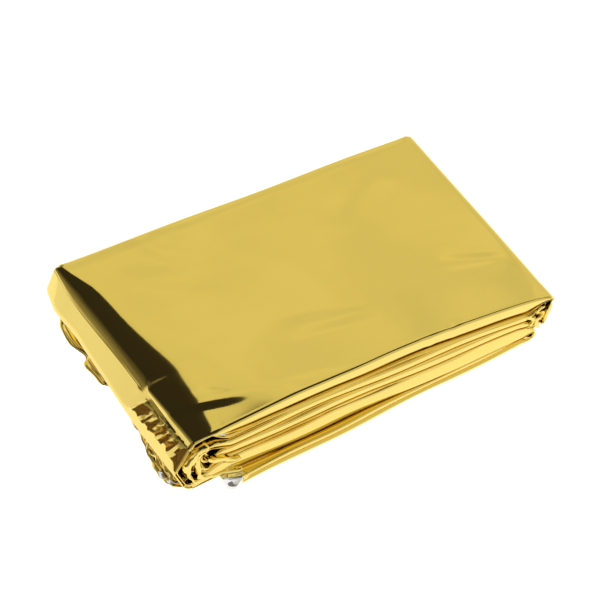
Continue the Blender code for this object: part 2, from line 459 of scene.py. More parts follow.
def strip_line(across):
    """The whole strip as one line, at a share of the way to the back, and the run or turn of each point."""
    line = run_line(0, across)
    owner = [0] * len(line)
    for number in range(1, len(RUNS)):
        following = run_line(number, across)
        turn = turn_line(number - 1, line[-1], following[0], across)
        line += turn + following
        owner += [number - 0.5] * len(turn) + [number] * len(following)
    return line, owner


sample_line, OWNER = strip_line(0.5)
strip_length = sum((Vector(b[:3]) - Vector(a[:3])).length for a, b in zip(sample_line, sample_line[1:]))
print("points in a line:", len(sample_line), "and length of the strip:", round(strip_length), "mm")

# %% [markdown]
# ## The strip's section: both sides folded in, then closed like a book
#
# Cut the strip across and look at the end. The film starts inside, at one raw edge, comes to the front,
# turns in a small loop, runs back along one face, goes round the back in one big loop, comes forward
# along the other face, and turns in again. So each run shows two loops in front, one large and one small,
# and one at the back.
#
# The section is a list of places. Each says how far back it lies and which part of the section it is in.
# Where the two front loops meet is different for each run, so a loop's places only say how far round it
# they are.

# %% Section of the strip
WIDTH = 84.6
LOOP_DEPTH = 1.15       # how far in from the front edge a loop starts
FLATNESS = 0.85         # below 1 a loop is flatter in front and tighter at its two bends
SPINE_DEPTH = 1.5       # the same for the big loop at the back
LOOP_STEPS = 10
SPINE_STEPS = 8
BOTTOM_PLY_STEPS = 10
TOP_PLY_BACK_STEPS = 13
TOP_PLY_FRONT_STEPS = 36
CREASED_SHARE = 0.37    # share of the width at the front where the creases need closer points
INNER_STEPS = 4
INNER_REACH = 0.9       # share of the width to which the folded-in sides reach back
INNER_GAP = 0.04        # half the gap between the inner layers, as a share of the thickness

Place = namedtuple("Place", "across part turned")


def half_turn(step, steps):
    """(how far out, how far round) a loop, both from 0 to 1. Rounding can leave a sine just below nothing."""
    angle = math.pi * step / steps
    return max(math.sin(angle), 0.0) ** FLATNESS, 0.5 - 0.5 * math.cos(angle)


def section_places():
    """Places round the section: share of the way to the back, part, and how far round a loop, from 0 to 1."""
    places = []
    deep = LOOP_DEPTH / WIDTH
    far = 1 - SPINE_DEPTH / WIDTH
    for step in range(INNER_STEPS):
        places.append(Place(mix(INNER_REACH, deep, step / INNER_STEPS), "inner low", 0.0))
    for step in range(LOOP_STEPS + 1):
        out, turned = half_turn(step, LOOP_STEPS)
        places.append(Place(deep * (1 - out), "low loop", turned))
    for step in range(1, BOTTOM_PLY_STEPS):
        places.append(Place(mix(deep, far, step / BOTTOM_PLY_STEPS), "bottom", 0.0))
    for step in range(SPINE_STEPS + 1):
        out, turned = half_turn(step, SPINE_STEPS)
        places.append(Place(far + (1 - far) * out, "spine", turned))
    for step in range(1, TOP_PLY_BACK_STEPS):
        places.append(Place(mix(far, CREASED_SHARE, step / TOP_PLY_BACK_STEPS), "top", 0.0))
    for step in range(TOP_PLY_FRONT_STEPS):
        places.append(Place(mix(CREASED_SHARE, deep, step / TOP_PLY_FRONT_STEPS), "top", 0.0))
    for step in range(LOOP_STEPS + 1):
        out, turned = half_turn(step, LOOP_STEPS)
        places.append(Place(deep * (1 - out), "high loop", turned))
    for step in range(1, INNER_STEPS + 1):
        places.append(Place(mix(deep, INNER_REACH, step / INNER_STEPS), "inner high", 0.0))
    return places


PLACES = section_places()
print("places round the section:", len(PLACES))

# %% [markdown]
# ## Bands of the front
#
# Seen from the front, the runs are bands that bulge until they press on each other. That closes the gaps,
# and a mirror then shows mirrors: the top of each band is hidden, its middle shows the white table, and
# its lower part shows the next band and turns deep gold. The bands are uneven, as in the photograph: two
# broad ones squeeze their neighbours, and a squeezed band lies wholly above or below the middle of its
# run.

# %% Bands
# By level: how far the band reaches below and above the middle of its run, in millimetres. A squeezed band
# lies wholly above or below the middle, and its other reach is then less than nothing.
BANDS = {
    1: (1.2, 2.35), 2: (1.25, 4.1), 3: (-0.75, 1.85), 4: (1.45, 1.85), 5: (1.35, 1.75), 6: (1.4, -0.3),
    7: (3.7, 1.2),
}
# By run: where its two front loops meet, from -0.5 at one face to 0.5 at the other.
MEETING = (0.12, 0.4, -0.42, 0.28, 0.2, 0.3, -0.3)
# By level: X where the bulge starts, and the length over which it grows.
BAND_STARTS = {1: (-70.0, 5.0), 2: (-63.0, 12.0), 3: (-57.0, 5.0), 7: (-54.0, 14.0)}
OTHER_START = (-57.0, 13.0)   # the same for all other levels
BAND_END = (57.0, 6.0)        # X where every bulge ends, and the length over which it fades
BAND_REACH = 0.17             # share of the width over which a band's bulge fades
BAND_FADE = 1.4               # above 1 it fades sooner
SMALL_LOOP_INSET = 0.15       # how far the smaller of the two front loops lies back
BAND_WAVE = 0.13              # how unevenly the bands bulge
BAND_WAVE_X = (6.5, 17.0)
BAND_WAVE_STEP = 2.1          # a different start of the wave for each level
FRONT_WAVE = 0.3              # how far their fronts wander in and out, in millimetres
BACK_WAVE = 0.5               # the same for the folds at the back
FRONT_WAVE_X, FRONT_WAVE_STEP = 8.0, 1.7
BACK_WAVE_X, BACK_WAVE_STEP = 11.0, 2.4
TOP_WAVE = 0.15               # share of both that the top run has
LIFT_REACH = 0.35             # share of the width over which the top's front stands up


def band_share(level, across, x):
    """How much of the band's bulge is left at this place."""
    front = max(1 - across / BAND_REACH, 0.0) ** BAND_FADE
    left, length = BAND_STARTS.get(level, OTHER_START)
    right, fade = BAND_END
    return front * ease((x - left) / length) * ease((right - x) / fade)


def band_shift(level):
    """How far a squeezed band's own middle lies above or below the middle of its run."""
    down, up = BANDS[level]
    return (up - down) / 2 if min(down, up) < 0 else 0.0


def meeting_at(owner):
    """Where the two front loops meet, on a run or half way between two runs."""
    low = int(owner)
    high = min(low + 1, len(MEETING) - 1)
    return mix(MEETING[low], MEETING[high], owner - low)


def place_level(place, meeting):
    """Level of a place in the strip's thickness, from -0.5 to 0.5."""
    if place.part == "inner low":
        return meeting - INNER_GAP
    if place.part == "low loop":
        return mix(meeting - INNER_GAP, -0.5, place.turned)
    if place.part == "bottom":
        return -0.5
    if place.part == "spine":
        return mix(-0.5, 0.5, place.turned)
    if place.part == "top":
        return 0.5
    if place.part == "high loop":
        return mix(0.5, meeting + INNER_GAP, place.turned)
    return meeting + INNER_GAP


# %% [markdown]
# ## The film as a grid
#
# Each place round the section, followed along the whole strip, is one row of points. The point is the
# strip's own line, moved square to it by the place's level. Rows side by side make the film.

# %% Lay the film along the strip
FILM_THICKNESS = 0.07
TURN_PUFF = {3: 2.4, 5: 2.0}     # turn: how much thicker its front edge is
TURN_REACH = 0.14                # share of the width over which that fades
FLOOR_LEVEL = 0.6                # level that a height of nothing counts as


def side_ways(line):
    """Unit vectors square to the line, in the plane of its length and height."""
    sides = []
    for i in range(len(line)):
        before = line[max(i - 1, 0)]
        after = line[min(i + 1, len(line) - 1)]
        along_x = after[0] - before[0]
        along_z = after[2] - before[2]
        length = math.hypot(along_x, along_z) or 1.0
        sides.append((-along_z / length, along_x / length))
    return sides


def half_thickness(owner, level, side_z, across, x, z, share):
    """Distance from the strip's line to its face on this side of it, in millimetres."""
    half = share * STRIP_THICKNESS / 2
    if owner == int(owner):
        run_level = RUNS[int(owner)].level
        down, up = BANDS[run_level]
        shift = band_shift(run_level)
        upper = level * side_z > 0
        if upper and run_level == LEVELS:
            return half
        reach = up - shift if upper else down + shift
        short, long = BAND_WAVE_X
        uneven = math.sin(x / short + BAND_WAVE_STEP * run_level) * math.sin(x / long + run_level)
        reach *= 1 + BAND_WAVE * uneven
        return mix(half, reach, band_share(run_level, across, x))
    turn = int(owner)
    if turn in TURN_PUFF:
        low, high = sorted((RUNS[turn].level, RUNS[turn + 1].level))
        up_the_turn = (z / LEVEL_PITCH + FLOOR_LEVEL - low) / (high - low)
        most = TURN_PUFF[turn] * max(4 * up_the_turn * (1 - up_the_turn), 0.0)
        return half * (1 + most * max(1 - across / TURN_REACH, 0.0))
    return half


def wander_at(owner, across, x):
    """How far the folds at the front and at the back wander in or out."""
    front = FRONT_WAVE * math.sin(x / FRONT_WAVE_X + FRONT_WAVE_STEP * owner)
    back = BACK_WAVE * math.sin(x / BACK_WAVE_X + BACK_WAVE_STEP * owner)
    wander = front * max(1 - across / BAND_REACH, 0.0) + back * max(10 * across - 9, 0.0)
    return TOP_WAVE * wander if owner == TOP else wander


def lift_at(owner, upper, across, x):
    """How far a run is lifted: the shift of a squeezed band, and the front of the top that stands up."""
    if owner != int(owner):
        return 0.0
    run_level = RUNS[int(owner)].level
    lift = band_shift(run_level) * band_share(run_level, across, x)
    if owner == TOP:
        standing = along([(row[0], row[2]) for row in TOP_FRONT], x)
        lift += standing * (0.5 + upper) * max(1 - across / LIFT_REACH, 0.0) ** 1.5
    return lift


def film_points():
    lines = {}
    rows = []
    for place in PLACES:
        key = round(place.across, 6)
        if key not in lines:
            line, _ = strip_line(place.across)
            lines[key] = (line, side_ways(line))
        line, sides = lines[key]
        row = []
        for (x, y, z, share), (side_x, side_z), owner in zip(line, sides, OWNER):
            if owner == int(owner):
                side_x, side_z = 0.0, math.copysign(1.0, side_z)
            meeting = meeting_at(owner)
            level = place_level(place, meeting)
            off = 2 * level * half_thickness(owner, level, side_z, place.across, x, z, share)
            small = (place.part == "low loop" and meeting < 0) or (place.part == "high loop" and meeting > 0)
            inset = SMALL_LOOP_INSET * math.sin(math.pi * place.turned) if small else 0.0
            wander = wander_at(owner, place.across, x)
            lift = lift_at(owner, level * side_z, place.across, x)
            row.append(Vector((x + side_x * off, y + inset + wander, z + side_z * off + lift)))
        rows.append(row)
    return rows


film_rows = film_points()
print("film points:", len(film_rows) * len(film_rows[0]))

# %% [markdown]
# ## Creases placed one by one
#
# Film keeps the mark of every finger. The largest marks are put where the photograph has them. On the top
# each is a line with a width and a height, placed by X and Y. The film near it is pushed up or down by a
# smooth bump across the line that fades towards both ends. A step crease has no far side: it widens until
# it is lost.
#
# Near the front the wall is gathered in pleats. They could be creases as well, but pleats lie side by
# side, so a table of where each one begins and ends is easier to read. They are worked out on an upright
# wall and then leaned back together with the grid, so that their steep falls follow its rows and stay
# clean.

# %% Creases on the top and on the wall
# A crease with an end width is a step: it gets wider towards its end and doesn't rise again in front.
Crease = namedtuple("Crease", "start end width height end_width", defaults=(0.0,))
TOP_CREASES = (
    Crease((-65.0, -27.3), (-42.0, -37.0), 0.9, -0.36, 6.8),   # dark thorn
    Crease((-60.0, -15.5), (-54.3, -15.3), 0.9, 0.22),         # bright scratch
    Crease((-50.0, -24.4), (-40.8, -29.6), 1.9, -0.11),        # faint smear
    Crease((-38.0, 45.0), (-27.0, 27.0), 4.0, 0.12),
    Crease((-33.0, 40.0), (-20.0, 30.0), 5.0, -0.12),
    Crease((-48.0, 30.0), (-20.0, 12.0), 6.0, 0.14),
    Crease((5.0, 30.0), (12.0, 22.0), 2.0, -0.08),
    Crease((20.0, 20.0), (50.0, 34.0), 7.0, 0.16),
    Crease((36.0, -12.0), (58.0, -20.0), 6.0, -0.14),
    Crease((-20.0, -14.0), (14.0, -22.0), 7.0, 0.12),
    Crease((17.6, -43.0), (19.2, -36.5), 1.4, -0.4),     # two nicks in the front edge
    Crease((26.2, -43.0), (27.8, -37.0), 1.4, -0.3),
)
CREASE_TAPER = 0.6          # share of its width that a crease loses on the way
CREASE_FADE = 3             # a crease fades over a third of its length at both ends
STEP_FADE = 4               # and a step over a quarter, at its start alone
TOP_MARKS_Z = 17.0          # below this height the top's creases are gone
TOP_MARKS_FADE = 2.0

# Pleats of the wall, from the back to the front. Seen from its front side a pleat swells slowly and then
# falls back steeply. A power above 1 keeps most of the swelling for the end. Below low_z the wall is smooth.
Pleat = namedtuple("Pleat", "back front depth power low_z", defaults=(12.7,))
PLEATS = (
    Pleat(-13.0, -15.8, 0.8, 1.0, 16.2),
    Pleat(-18.6, -24.0, 1.25, 1.0),
    Pleat(-24.0, -26.2, 0.6, 1.3),
    Pleat(-26.2, -29.6, 1.0, 1.5),
    Pleat(-29.6, -33.2, 1.4, 1.5),
    Pleat(-33.2, -36.2, 0.85, 1.5),
    Pleat(-36.2, -39.4, 1.3, 1.5),
    Pleat(-39.4, -41.4, 0.5, 1.2),
    Pleat(-41.4, -44.2, 0.7, 1.2),
)
PLEAT_FALL = 0.15           # share of a pleat's width that falls back
PLEAT_FOOT = 0.9            # height over which a pleat begins above its low_z
PLEAT_TOP = 18.2            # height at which the pleats have faded out below the ridge
PLEAT_TOP_FADE = 3.0
PLEAT_LEAN = 0.7            # how far a pleat runs to the back for each millimetre down
LEAN_LOW = 5.0              # height from which the wall leans back with them
LEAN_FRONT = -43.5          # and between which places along Y
LEAN_BACK = 4.0
LEAN_FADE = 6.0             # length over which that grows, upwards and from the front
LEAN_BACK_FADE = 14.0       # and from the back
SWELL = (0.6, 12.9, 17.8)   # how much the whole pleated place stands out, and between which heights
SWELL_FOOT = 1.2            # height over which that begins
SWELL_BACK = -15.0          # Y of its back end
SWELL_BACK_FADE = 5.0
WALL_CREASE_Z = 11.5
WALL_OUT = (-0.74, 0.67)    # X and Z of the direction in which the pleats stand out of the wall


def pleat_push(y, z):
    """How far the wall stands out at a place, before the pleats are leaned."""
    amount, low, high = SWELL
    push = amount * ease((z - low + SWELL_FOOT) / SWELL_FOOT) * min(max((high - z) / (high - low), 0.0), 1.0)
    push *= ease((SWELL_BACK - y) / SWELL_BACK_FADE)
    for pleat in PLEATS:
        share = (y - pleat.front) / (pleat.back - pleat.front)
        if 0 < share < 1:
            rise = 1 - PLEAT_FALL
            swell = (share / rise) ** pleat.power if share < rise else (1 - share) / PLEAT_FALL
            faded = ease((z - pleat.low_z) / PLEAT_FOOT) * ease((PLEAT_TOP - z) / PLEAT_TOP_FADE)
            push += pleat.depth * swell * faded
    return push


def pleat_lean(y, z):
    """How far a point of the wall moves to the back, so that the pleats run down and backwards."""
    down = min(max(PLEAT_TOP - z, 0.0), PLEAT_TOP - WALL_CREASE_Z)
    grown = ease((z - LEAN_LOW) / LEAN_FADE) * ease((y - LEAN_FRONT) / LEAN_FADE)
    return PLEAT_LEAN * down * grown * ease((LEAN_BACK - y) / LEAN_BACK_FADE)


def crease_push(creases, a, b):
    """Height of all the creases together at a place."""
    push = 0.0
    for crease in creases:
        (a0, b0), (a1, b1) = crease.start, crease.end
        length = math.hypot(a1 - a0, b1 - b0)
        along_line = ((a - a0) * (a1 - a0) + (b - b0) * (b1 - b0)) / length
        aside = ((a - a0) * (b1 - b0) - (b - b0) * (a1 - a0)) / length
        if crease.end_width:
            near = 1 + aside / mix(crease.width, crease.end_width, min(max(along_line / length, 0.0), 2.0))
            push += crease.height * ease(near) * ease(STEP_FADE * along_line / length)
            continue
        near = 1 - abs(aside) / (crease.width * (1 - CREASE_TAPER * along_line / length))
        inside = CREASE_FADE * min(along_line, length - along_line) / length
        if inside > 0 and near > 0:
            push += crease.height * ease(near) * ease(inside)
    return push


# %% [markdown]
# ## Crumples
#
# At the ends of the stack the loose inner layers are crumpled, and crumpled film has flat facets between
# sharp edges. Noise made of cells has just that: the distance to the nearest cell centre rises evenly and
# breaks at the border between two cells. Each crumpled zone is a soft ball in which that distance moves
# the film.

# %% Crumpled zones
Zone = namedtuple("Zone", "owners centre reach size amount")
ZONES = (
    Zone((3, 3.5, 4, 5, 5.5, 6), (-59.0, -43.5, 10.5), (11.0, 10.0, 10.0), 4.2, 1.6),
    Zone((1, 2.5, 3, 4, 4.5, 5, 6), (58.5, -40.0, 12.0), (7.0, 8.0, 12.0), 3.4, 1.3),
    Zone((0,), (-64.0, -32.0, 1.0), (8.0, 38.0, 6.0), 6.0, 1.7),
)
ZONE_EDGE = 1.15     # share of its reach at which a zone's crumples end
CELL_MIDDLE = 0.45   # usual distance to the nearest cell centre, so that as much is pushed in as out


def cell_push(point, size, seed):
    """How much further than usual a place is from the nearest centre of cells of this size."""
    return noise.voronoi(point / size + seed)[0][0] - CELL_MIDDLE


def crumple(point, owner):
    """How far the crumples move a point of the film."""
    moved = Vector((0.0, 0.0, 0.0))
    for number, zone in enumerate(ZONES):
        if owner not in zone.owners:
            continue
        away = Vector(((point[i] - zone.centre[i]) / zone.reach[i] for i in range(3)))
        weight = ease(ZONE_EDGE - away.length)
        if weight <= 0:
            continue
        for axis in range(3):
            seed = Vector((17.0 * axis + 5.0 * number, 3.0, 9.0))
            moved[axis] += weight * zone.amount * cell_push(point, zone.size, seed)
    return moved


def mark_film(rows):
    for place, row in zip(PLACES, rows):
        for i, owner in enumerate(OWNER):
            point = row[i]
            if place.part in ("top", "high loop") and owner in (TOP, WALL + 0.5):
                above = point.z - TOP_MARKS_Z
                point.z += crease_push(TOP_CREASES, point.x, point.y) * ease(above / TOP_MARKS_FADE)
            if place.part == "top" and owner == WALL + 0.5:
                push = pleat_push(point.y, point.z)
                point.y += pleat_lean(point.y, point.z)
                point.x += WALL_OUT[0] * push
                point.z += WALL_OUT[1] * push
            row[i] = point + crumple(point, owner)


mark_film(film_rows)

# %% [markdown]
# ## Loose folds at the corners
#
# The strip is really many plies thick, and at the two front corners some of them come out of the stack as
# small leaves. A leaf is a tight fold seen from its edge: a path in the plane of the front, a half width
# on both sides of it, and a round nose towards the front. The places are those of the photograph.

# %% Leaves
Leaf = namedtuple("Leaf", "path half nose_y depth crumple")
LEAVES = (
    Leaf(((-56.8, 17.6), (-60.4, 15.6), (-63.4, 12.4), (-63.2, 9.2), (-61.4, 5.6)), 1.15, -44.3, 9.0, 1.2),
    Leaf(((-56.2, 16.0), (-59.4, 14.8), (-60.2, 11.4), (-59.6, 7.6), (-58.5, 4.6)), 1.25, -44.0, 9.0, 1.4),
    Leaf(((-57.0, 12.4), (-55.4, 10.6), (-52.0, 9.2), (-48.6, 7.6), (-46.0, 7.4)), 1.1, -43.6, 8.0, 0.9),
    Leaf(((-64.8, 5.2), (-62.0, 4.4), (-58.0, 4.9), (-54.0, 4.2), (-50.0, 4.6)), 0.8, -43.4, 8.0, 0.5),
    Leaf(((59.7, 18.4), (59.4, 16.0), (58.2, 13.0), (56.8, 10.0)), 0.6, -41.4, 6.0, 0.5),
    Leaf(((57.6, 17.0), (55.6, 15.2), (57.4, 13.4), (55.0, 11.2), (56.0, 8.8)), 0.9, -40.6, 6.0, 1.1),
    Leaf(((54.6, 15.8), (52.4, 14.4), (54.4, 12.6), (52.6, 10.8)), 0.8, -40.6, 6.0, 1.0),
)
LEAF_STEPS = 16
NOSE_STEPS = 8
LEAF_CELL = 2.3
LEAF_END = 0.35     # share of its half width that a leaf has at both ends
LEAF_AHEAD = 0.02   # how far along the path its direction is measured
NOSE_LEAST = 0.6    # least length of a leaf's round nose


def smooth_path(path, share):
    """Point of a path at a share of its length, on a smooth curve."""
    steps = [(float(i), value) for i, value in enumerate(path)]
    at = share * (len(path) - 1)
    return Vector((
        along([(i, value[0]) for i, value in steps], at),
        along([(i, value[1]) for i, value in steps], at),
    ))


def leaf_grid(leaf, number):
    """Rows of points across a leaf, from one inner edge round the nose to the other."""
    section = [(-1.0, leaf.depth), (-1.0, leaf.depth / 2)]
    for step in range(NOSE_STEPS + 1):
        angle = math.pi * step / NOSE_STEPS
        section.append((-math.cos(angle), 1 - math.sin(angle)))
    section += [(1.0, leaf.depth / 2), (1.0, leaf.depth)]
    grid = []
    for side, deep in section:
        row = []
        for step in range(LEAF_STEPS + 1):
            share = step / LEAF_STEPS
            here = smooth_path(leaf.path, share)
            ahead = smooth_path(leaf.path, min(share + LEAF_AHEAD, 1.0))
            ahead -= smooth_path(leaf.path, max(share - LEAF_AHEAD, 0.0))
            square = Vector((ahead.y, -ahead.x)).normalized()
            half = leaf.half * mix(LEAF_END, 1.0, math.sin(math.pi * share))
            flat = here + square * half * side
            point = Vector((flat.x, leaf.nose_y + deep * max(half, NOSE_LEAST), flat.y))
            for axis in range(3):
                seed = Vector((11.0 * number, 7.0 * axis, 2.0))
                point[axis] += leaf.crumple * cell_push(point, LEAF_CELL, seed)
            row.append(point)
        grid.append(row)
    return grid


# %% [markdown]
# ## The ragged end under the packet
#
# The strip's free end lies under the packet and sticks out a little at the left. Its plies are not held
# by anything, so they spread, curl and show both their sides. Each ply is a narrow grid that follows the
# long table of how far it sticks out, and the crumples do the rest.

# %% Loose plies and the turned-back corner
EDGE_OUT = (   # (Y, X of the outermost film)
    (-40.5, -62.5), (-39.0, -64.4), (-37.5, -66.2), (-33.0, -66.6), (-28.0, -66.2), (-22.0, -65.8),
    (-16.0, -64.2), (-12.6, -63.6), (-6.0, -62.6), (3.0, -62.0), (8.0, -62.4), (9.5, -63.4), (20.0, -64.2),
    (21.5, -62.9), (25.0, -63.2), (32.0, -63.8), (38.0, -62.6), (42.0, -61.4),
)
Ply = namedtuple("Ply", "front back inset lift curl cell crumple flip")
PLIES = (
    Ply(-40.5, 42.0, 0.0, 0.4, 0.9, 3.4, 1.1, False),
    Ply(-40.0, 41.5, 0.9, 1.3, 1.0, 2.8, 1.2, False),
    Ply(-39.0, -12.0, 1.0, 2.2, 1.0, 2.4, 1.8, False),
    Ply(-38.5, -30.0, 0.2, 1.2, 1.6, 2.0, 1.2, True),
)
PLY_INNER_X = -58.0
PLY_STEPS = 6
PLY_SPACING = 1.1
PLY_WAVE = 0.5               # how far a ply's edge wanders in and out
PLY_WAVE_Y = (2.1, 5.3)
CURL_Y = 3.7                 # a sixth or so of the length of its curls
CALM = 0.3                   # share of the crumples that is left at the back
CALM_FROM = 2.0              # Y behind which it is so
CALM_FADE = 22.0             # length over which the crumples calm down
HELD = 0.3                   # share of the crumples where the ply is held under the packet


def ply_grid(ply, number):
    grid = []
    count = int((ply.back - ply.front) / PLY_SPACING)
    short, long = PLY_WAVE_Y
    for i in range(count + 1):
        y = mix(ply.front, ply.back, i / count)
        wave = PLY_WAVE * math.sin(y / short + number) * math.sin(y / long)
        out = along(EDGE_OUT, y) + ply.inset + wave
        rough = mix(CALM, 1.0, ease((CALM_FROM - y) / CALM_FADE))
        row = []
        for step in range(PLY_STEPS + 1):
            share = step / PLY_STEPS
            x = mix(PLY_INNER_X, out, share)
            z = ply.lift + rough * ply.curl * share**2 * math.sin(y / CURL_Y + 2.3 * number)
            point = Vector((x, y, z))
            for axis in range(3):
                seed = Vector((5.0 * number, 13.0 * axis, 4.0))
                push = cell_push(point, ply.cell, seed)
                point[axis] += rough * ply.crumple * push * mix(HELD, 1.0, share)
            row.append(point)
        grid.append(row)
    return grid[::-1] if ply.flip else grid


# The lowest front corner is turned back and shows silver. Each row runs from its left to its right end.
CORNER_GOLD = (
    ((-54.0, -40.4, 4.4), (-50.0, -42.0, 4.3), (-45.8, -43.2, 4.1)),
    ((-53.8, -41.4, 4.1), (-50.0, -42.9, 4.0), (-46.0, -44.2, 3.8)),
    ((-53.0, -42.2, 3.2), (-49.8, -43.4, 3.3), (-46.2, -44.4, 3.3)),
)
CORNER_SILVER = (
    ((-53.0, -42.2, 3.2), (-49.8, -43.4, 3.3), (-46.2, -44.4, 3.3)),
    ((-52.8, -43.1, 2.98), (-49.9, -44.4, 3.05), (-46.4, -45.4, 3.05)),
    ((-52.6, -44.0, 2.76), (-50.0, -45.4, 2.8), (-46.8, -46.3, 2.83)),
    ((-52.3, -44.3, 1.9), (-50.2, -45.7, 2.1), (-47.4, -46.6, 2.3)),
    ((-51.8, -45.6, 0.15), (-51.2, -46.5, 0.3), (-50.2, -47.2, 0.5)),
)


def fine_grid(rows, steps=10):
    """A smooth grid through a coarse one."""
    def line(points, share):
        at = share * (len(points) - 1)
        return Vector([along([(float(i), p[axis]) for i, p in enumerate(points)], at) for axis in range(3)])

    grid = []
    for i in range(steps + 1):
        across = [line([row[k] for row in rows], i / steps) for k in range(len(rows[0]))]
        grid.append([line(across, j / steps) for j in range(steps + 1)])
    return grid


loose_grids = [leaf_grid(leaf, number) for number, leaf in enumerate(LEAVES)]
loose_grids += [ply_grid(ply, number) for number, ply in enumerate(PLIES)]
loose_grids.append(fine_grid(CORNER_GOLD))
loose_grids.append(fine_grid(CORNER_SILVER)[::-1])
print("loose folds and plies:", len(loose_grids))

# %% [markdown]
# ## Finishes
#
# Both sides of the film are mirrors, so each is a metal with very little roughness. Gold lacquer over the
# metal gives the colour, and it deepens where the film mirrors itself, in the grooves between the folds.

# %% Gold and silver


def new_material(name):
    """A material, its nodes and its links."""
    material = bpy.data.materials.new(name)
    material.use_nodes = True
    return material, material.node_tree.nodes, material.node_tree.links


def add_node(nodes, kind, **values):
    """A new node with some of its inputs set. An underscore stands for the space in an input's name."""
    node = nodes.new(kind)
    for name, value in values.items():
        node.inputs[name.replace("_", " ")].default_value = value
    return node


GOLD = (0.86, 0.67, 0.19, 1.0)
SILVER = (0.78, 0.79, 0.82, 1.0)
TENSION_SCALE = (60.0, 160.0, 160.0)   # lines a metre, so they are drawn out along X


def film_material(name, colour, roughness):
    """A mirror with faint tension lines, drawn by a stretched noise."""
    material, nodes, links = new_material(name)
    shader = nodes["Principled BSDF"]
    shader.inputs["Metallic"].default_value = 1.0
    place = add_node(nodes, "ShaderNodeTexCoord")
    stretch = add_node(nodes, "ShaderNodeMapping", Scale=TENSION_SCALE)
    links.new(place.outputs["Object"], stretch.inputs["Vector"])
    lines = add_node(nodes, "ShaderNodeTexNoise", Scale=1.0, Detail=3.0)
    links.new(stretch.outputs["Vector"], lines.inputs["Vector"])
    tint = add_node(nodes, "ShaderNodeValToRGB")
    tint.color_ramp.elements[0].color = tuple(0.96 * part for part in colour[:3]) + (1.0,)
    tint.color_ramp.elements[1].color = colour
    links.new(lines.outputs["Fac"], tint.inputs["Fac"])
    links.new(tint.outputs["Color"], shader.inputs["Base Color"])
    gloss = add_node(nodes, "ShaderNodeMapRange", To_Min=roughness * 0.8, To_Max=roughness * 1.3)
    links.new(lines.outputs["Fac"], gloss.inputs["Value"])
    links.new(gloss.outputs["Result"], shader.inputs["Roughness"])
    return material


gold = film_material("gold_film", GOLD, 0.06)
silver = film_material("silver_film", SILVER, 0.08)
print("finishes:", gold.name, "and", silver.name)

# %% [markdown]
# ## One sheet with a thickness
#
# The grids become the faces of one mesh, because the real blanket is one sheet. Smooth shading alone
# would melt the crumples together, so two facets that meet at a clear angle keep a hard edge. Solidify
# then gives the film its thickness and puts silver on the side that it adds.

# %% Build the blanket
SHARP_FROM = math.radians(32)   # two facets that meet at more than this keep a hard edge between them
LOWEST = 0.04                   # height of the lowest film above the table, in millimetres


def grid_faces(first, lines, count):
    """Faces between neighbouring lines of points, each of them this many points long."""
    faces = []
    for line in range(lines - 1):
        for i in range(count - 1):
            a = first + line * count + i
            faces.append((a, a + count, a + count + 1, a + 1))
    return faces


def add_mesh(name, points, faces, *materials):
    """A new object in the scene, from points in metres."""
    mesh = bpy.data.meshes.new(name)
    mesh.from_pydata(points, [], faces)
    for material in materials:
        mesh.materials.append(material)
    thing = bpy.data.objects.new(name, mesh)
    bpy.context.scene.collection.objects.link(thing)
    return thing


def build_film(grids):
    points = []
    faces = []
    for grid in grids:
        faces += grid_faces(len(points), len(grid), len(grid[0]))
        for row in grid:
            points += [((p.x + CENTRE_X) * MM, (p.y + CENTRE_Y) * MM, max(p.z, LOWEST) * MM) for p in row]
    blanket = add_mesh("foil_blanket", points, faces, gold, silver)
    blanket.data.polygons.foreach_set("use_smooth", [True] * len(faces))
    blanket.data.set_sharp_from_angle(angle=SHARP_FROM)
    blanket.data.update()
    print("faces of the film:", len(faces))
    film = blanket.modifiers.new("film thickness", "SOLIDIFY")
    film.thickness = FILM_THICKNESS * MM
    film.offset = -1.0
    film.material_offset = 1
    return blanket


blanket = build_film([film_rows] + loose_grids)
top_face = max(blanket.data.polygons, key=lambda face: face.center.z)
print("normal of the highest face:", [round(v, 2) for v in top_face.normal])
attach(blanket, "root")
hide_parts("folded_blanket")

# %% [markdown]
# ## The studio
#
# A mirror shows the room and not itself, so the light is half of the finish. The packet lies on a white
# table that runs up to the horizon. A large soft panel behind it, to the right, fills the flat top, and
# another lights it from the front. A dim cloth at the back left gives the shoulder its sheen, and three
# coloured cards on the left give the pleats their browns. The ceiling is dark, and that gives the folds
# their fine dark lines. Only straight overhead is there a patch of light, for whoever looks down on the
# packet.

# %% Floor, panels and room light
# The sine of the height above the horizon, and the room's light there.
ROOM = (
    (-1.0, (1.0, 1.0, 1.0)), (0.12, (1.0, 0.99, 0.96)), (0.36, (0.93, 0.9, 0.82)), (0.45, (0.5, 0.46, 0.36)),
    (0.6, (0.2, 0.18, 0.15)), (0.7, (0.035, 0.03, 0.025)), (0.98, (0.03, 0.027, 0.022)),
    (0.993, (0.66, 0.64, 0.55)), (1.0, (0.7, 0.68, 0.6)),
)
DIM_SHARE = 0.08      # light that is left at the dark edge of a panel


